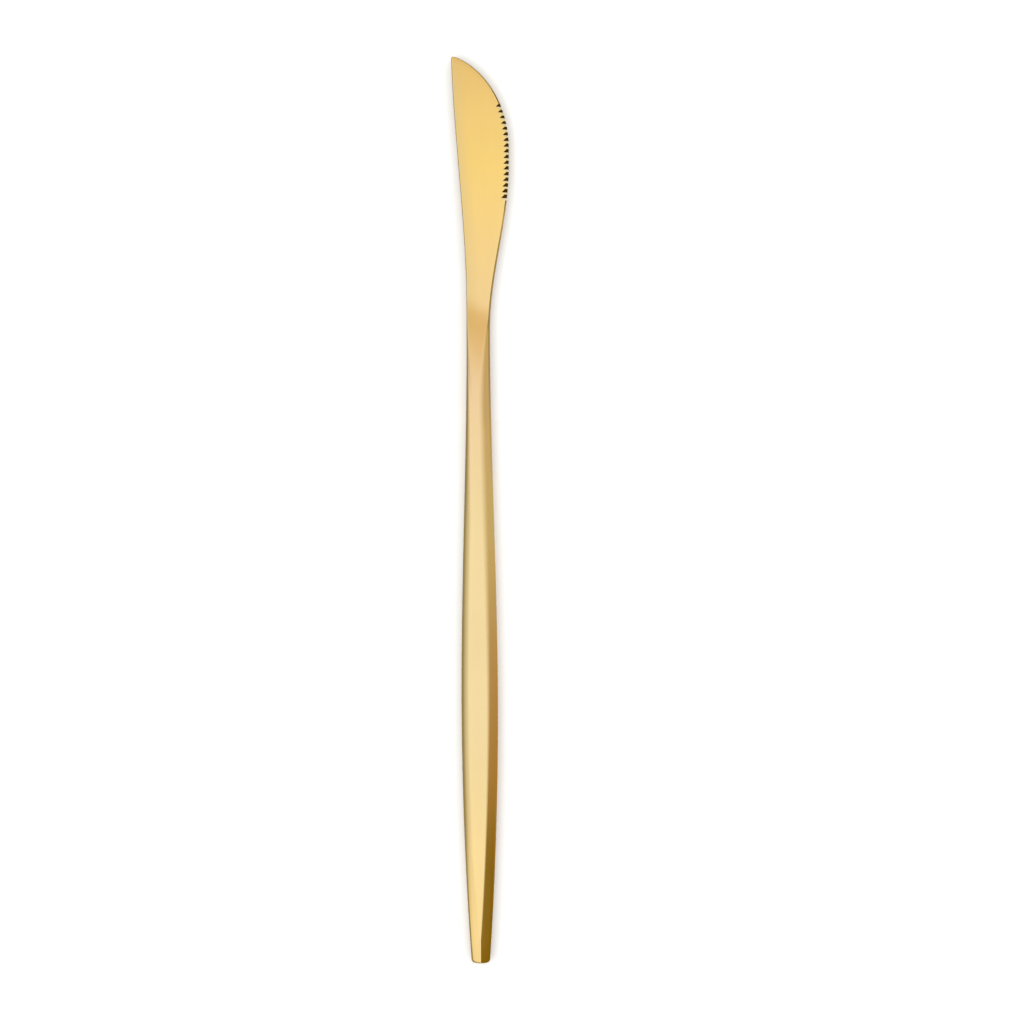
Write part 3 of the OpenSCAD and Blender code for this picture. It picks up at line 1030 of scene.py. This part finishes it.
@dataclass
class HalfShell:
    """Pressed half of the handle, hollow down to its solid end."""

    form: KnifeForm
    finishes: Finishes
    side: Side
    # Widest roof of the hollow as a share of its foot, where it is open and where it has closed flat
    roof_share: float = 0.9
    closed_share: float = 0.6
    piece: bpy.types.Object | None = None

    @property
    def node(self) -> str:
        """Name of the solid that it stands for."""
        return f"handle_shell_{self.side.name.lower()}"

    def build(self) -> None:
        """Lofts the shell, outside and inside, from its mouth to the handle's end."""
        form, steps = self.form, self.form.steps
        mouth_y = form.joint_y - form.braze_t
        long = np.linspace(mouth_y, form.butt_y + form.butt_corner, steps.shell)
        rounded = [form.butt_y + form.butt_corner * (1 - math.sin(math.pi / 2 * k / steps.end_round))
                   for k in range(1, steps.end_round + 1)]
        rings = []
        for y in np.concatenate([long, rounded]):
            outside = np.concatenate([[[-form.half_w(y), 0]], form.skin(y), [[form.half_w(y), 0]]])
            section = np.concatenate([outside, self._inside(y)])
            rings.append(form.at(section * [1, self.side.value], y))
        mesh = lofted(self.node + "_loft", rings)
        # Round each ring the outer faces come first, and the last two faces of all close the ends
        bare = np.arange(len(mesh.polygons)) % len(section) >= len(outside) - 1
        bare[-2:] = False
        self.finishes.lay_on(mesh, bare)
        self.piece = placed(self.node + "_pressed", mesh)

    def dress(self) -> None:
        """Shades the shell, marks its coat and puts it in the place of its solid."""
        smoothed(self.piece.data)
        CoatWearAndShade().mark(self.piece.data, self.form)
        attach(self.piece, ROOT)
        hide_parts(self.node)

    def _inside(self, y: float) -> np.ndarray:
        """Draws the inner wall at y, which lies flat on the middle plane where the shell is solid.

        Args:
            y: Place along the knife.

        Returns:
            Four points from the right to the left.
        """
        form = self.form
        solid_y = form.butt_y + form.butt_solid_l
        closing_y = solid_y + form.hollow_close_l
        foot, ridge, depth = form.inset(max(y, closing_y), form.shell_wall)
        closing = share(y, closing_y, solid_y)
        roof = mix(depth, -form.hollow_past / 2, closing)
        if roof > 0:
            outer = foot + form.hollow_past * (foot - ridge) / depth
            x = mix(outer, ridge, form.hollow_past / (roof + form.hollow_past))
            inner = min(ridge, self.roof_share * x)
        else:
            x = ridge * form.half_w(y) / form.half_w(closing_y)
            inner, roof = self.closed_share * x, 0.0
        return np.array([[x, 0], [inner, roof], [-inner, roof], [-x, 0]])


@dataclass
class Joints:
    """The braze and the cement that hold the knife together, kept as their solids."""

    nodes: dict[str, bpy.types.Object]
    finishes: Finishes

    def dress(self) -> None:
        """Gives each solid its finish. The ring at the neck shows, and the coat runs over it."""
        coat, braze, cement = self.finishes.coat, self.finishes.braze, self.finishes.cement
        for name, material in (("neck_braze", coat), ("seam_braze", braze), ("tang_cement", cement)):
            for place in self.nodes[name].material_slots:
                place.material = material
            log.info("%s: %s", name, material.name)


# How far the upright cards stand beside the knife, and the height of those that lie on the floor
CARD_X = 0.15
LYING_CARD_Z = -0.00003
EDGE_SIDE_TONES = ((-0.105, "#826C12"), (-0.081, "#AC8B50"), (-0.05, "#B6986C"), (0.003, "#CFC4A2"))


@dataclass(frozen=True)
class Card:
    """Studio card that only reflections see, in metres.

    Each of its tones stands at a place along the knife, no further than reach from its middle. The card
    goes over to white between the two angles of soft, in degrees up from the table, seen from the knife's
    middle across the knife, or along it where lengthwise is set. A one-sided card is clear from behind.
    """

    name: str
    corner: Point
    side_a: Point
    side_b: Point
    tones: Stops
    soft: Pair
    lengthwise: bool = False
    one_sided: bool = False
    reach: float = 0.2

    def build(self) -> None:
        """Makes the card and marks it as no part of the knife."""
        a, b, c = (np.array(v) for v in (self.corner, self.side_a, self.side_b))
        mesh = bpy.data.meshes.new(self.name)
        mesh.from_pydata([tuple(p) for p in (a, a + b, a + b + c, a + c)], [], [(0, 1, 2, 3)])
        material, add, place = new_material(self.name)
        axes = add("ShaderNodeSeparateXYZ", {0: place})
        along = add("ShaderNodeMapRange", {
            "Value": axes.outputs["Y"], "From Min": -self.reach, "From Max": self.reach})
        tone = add("ShaderNodeValToRGB", {"Fac": along})
        set_stops(tone, tuple((0.5 + y / (2 * self.reach), colour) for y, colour in self.tones))
        away = add("ShaderNodeMath", {0: axes.outputs["Y" if self.lengthwise else "X"]},
                   operation="ABSOLUTE")
        angle = add("ShaderNodeMath", {0: axes.outputs["Z"], 1: away}, operation="ARCTAN2")
        soft = add("ShaderNodeMapRange", {
            "Value": angle, "From Min": math.radians(self.soft[0]),
            "From Max": math.radians(self.soft[1])}, interpolation_type="SMOOTHSTEP")
        shown = add("ShaderNodeMix", {"Factor": soft, "A": tone, "B": WHITE}, data_type="RGBA")
        surface = add("ShaderNodeEmission", {"Color": shown})
        if self.one_sided:
            lie = add("ShaderNodeNewGeometry")
            clear = add("ShaderNodeBsdfTransparent")
            surface = add("ShaderNodeMixShader", {0: lie.outputs["Backfacing"], 1: surface, 2: clear})
        add("ShaderNodeOutputMaterial", {"Surface": surface})
        mesh.materials.append(material)
        card = placed(self.name, mesh)
        card.visible_camera = card.visible_diffuse = card.visible_shadow = False
        card.visible_transmission = card.visible_volume_scatter = False


@dataclass(frozen=True)
class Studio:
    """Pale floor, white surroundings, cards for reflections, a soft key light and the camera, in metres."""

    form: KnifeForm
    floor_half: float = 4.0
    floor_z: float = -0.00005
    floor_tone: str = "#FBFBFA"
    floor_rough: float = 0.9
    surround: float = 1.0
    surround_fill: float = 1.15
    key_power: float = 2.2
    key_size: float = 0.9
    key_place: Point = (-0.7, -0.35, 1.1)
    camera_h: float = 1.2
    camera_x: float = 0.00839
    camera_y: float = -0.00063
    camera_roll: float = -0.0042
    # Width of the view on the knife's middle plane
    view_w: float = 0.25995
    cards: tuple[Card, ...] = (
        Card("card_edge_side", (CARD_X, -0.5, 0), (0, 0.565, 0), (0, 0, 0.85), EDGE_SIDE_TONES, (24, 92)),
        Card("card_edge_side_blade", (CARD_X, 0.065, 0), (0, 0.125, 0), (0, 0, 0.06),
             ((0, "#5A4E34"),), (12, 21)),
        Card("card_edge_side_tip", (CARD_X, 0.19, 0), (0, 0.15, 0), (0, 0, 0.03),
             ((0, "#463A20"),), (30, 60)),
        Card("card_spine_side", (-CARD_X, -0.5, 0), (0, 0.545, 0), (0, 0, 0.3),
             ((-0.13, "#F6F0E0"), (-0.095, "#A29A80"), (-0.05, "#A29A80"), (0.02, "#BBB39B")), (0, 43)),
        Card("card_spine_side_blade", (-CARD_X, 0.045, 0), (0, 0.6, 0), (0, 0, 0.85),
             ((0, "#BCB5A2"),), (0, 110)),
        Card("card_table_edge_side", (0, -0.6, LYING_CARD_Z), (0.5, 0, 0), (0, 0.9, 0),
             EDGE_SIDE_TONES + ((0.045, "#A2967A"),), (10, 20)),
        Card("card_table_spine_side", (-0.5, -0.6, LYING_CARD_Z), (0.5, 0, 0), (0, 1.265, 0),
             ((0, "#9C9781"),), (10, 20)),
        Card("card_over_tip", (-8, 0.3, 3), (16, 0, 0), (0, 3, 0),
             ((0, "#E6D5B2"),), (76, 86), lengthwise=True),
        Card("card_by_teeth", (0.149, 0.02, 0.042), (-0.094, 0, 0), (0, 0, 0.07),
             ((0, "#8A7040"),), (90, 91), one_sided=True),
    )

    def build(self) -> None:
        """Sets up the studio."""
        self._floor()
        self._world()
        for card in self.cards:
            card.build()
        self._key()
        self._camera()
        bpy.context.scene.view_settings.view_transform = "Standard"

    def _floor(self) -> None:
        """Lays a plain pale floor just under the knife."""
        r, z = self.floor_half, self.floor_z
        mesh = bpy.data.meshes.new("floor")
        mesh.from_pydata([(-r, -r, z), (r, -r, z), (r, r, z), (-r, r, z)], [], [(0, 1, 2, 3)])
        material, add, _ = new_material("pale_floor")
        surface = add("ShaderNodeBsdfPrincipled", {
            "Base Color": linear(self.floor_tone), "Roughness": self.floor_rough,
            "Specular IOR Level": 0.0})
        add("ShaderNodeOutputMaterial", {"Surface": surface})
        mesh.materials.append(material)
        placed("floor", mesh)

    def _world(self) -> None:
        """Makes the surroundings white to the camera and in reflections, and a soft fill to the rest."""
        world = bpy.data.worlds.new("white_surround")
        world.use_nodes = True
        world.node_tree.nodes.clear()
        add = partial(add_node, world.node_tree)
        path = add("ShaderNodeLightPath")
        seen = add("ShaderNodeMath", {0: path.outputs["Is Camera Ray"], 1: path.outputs["Is Glossy Ray"]},
                   operation="MAXIMUM")
        strength = add("ShaderNodeMapRange", {
            "Value": seen, "To Min": self.surround_fill, "To Max": self.surround})
        light = add("ShaderNodeBackground", {"Color": WHITE, "Strength": strength})
        add("ShaderNodeOutputWorld", {"Surface": light})
        bpy.context.scene.world = world

    def _key(self) -> None:
        """Hangs a soft key light to the left of the handle."""
        data = bpy.data.lights.new("key", "AREA")
        data.energy, data.size = self.key_power, self.key_size
        light = bpy.data.objects.new("key", data)
        light.location = self.key_place
        light.rotation_euler = (-light.location).to_track_quat("-Z", "Y").to_euler()
        light.visible_camera = light.visible_glossy = False
        bpy.context.scene.collection.objects.link(light)

    def _camera(self) -> None:
        """Sets the camera straight above the knife, with the small turn that the photograph has."""
        data = bpy.data.cameras.new("camera")
        data.lens = data.sensor_width * (self.camera_h - self.form.mid_z * MM) / self.view_w
        camera = bpy.data.objects.new("camera", data)
        camera.location = (self.camera_x, self.camera_y, self.camera_h)
        camera.rotation_euler = (0, 0, self.camera_roll)
        bpy.context.scene.collection.objects.link(camera)
        bpy.context.scene.camera = camera


def main() -> None:
    """Builds the knife's pieces in order, dresses them and sets up the studio."""
    logging.basicConfig(level=logging.INFO, format="%(name)s: %(message)s")
    form = KnifeForm()
    finishes = Finishes(
        coat=GoldCoat().material(form), ground=GroundSteel().material(), bare=BARE_STEEL.material(),
        braze=SET_BRAZE.material(), cement=CastCement().material())
    for part in (Blade(form, finishes, Teeth()), *(HalfShell(form, finishes, side) for side in Side)):
        part.build()
        part.dress()
        log.info("%s: %d faces", part.piece.name, len(part.piece.data.polygons))
    Joints(frame["nodes"], finishes).dress()
    Studio(form).build()


if __name__ == "__main__":
    main()
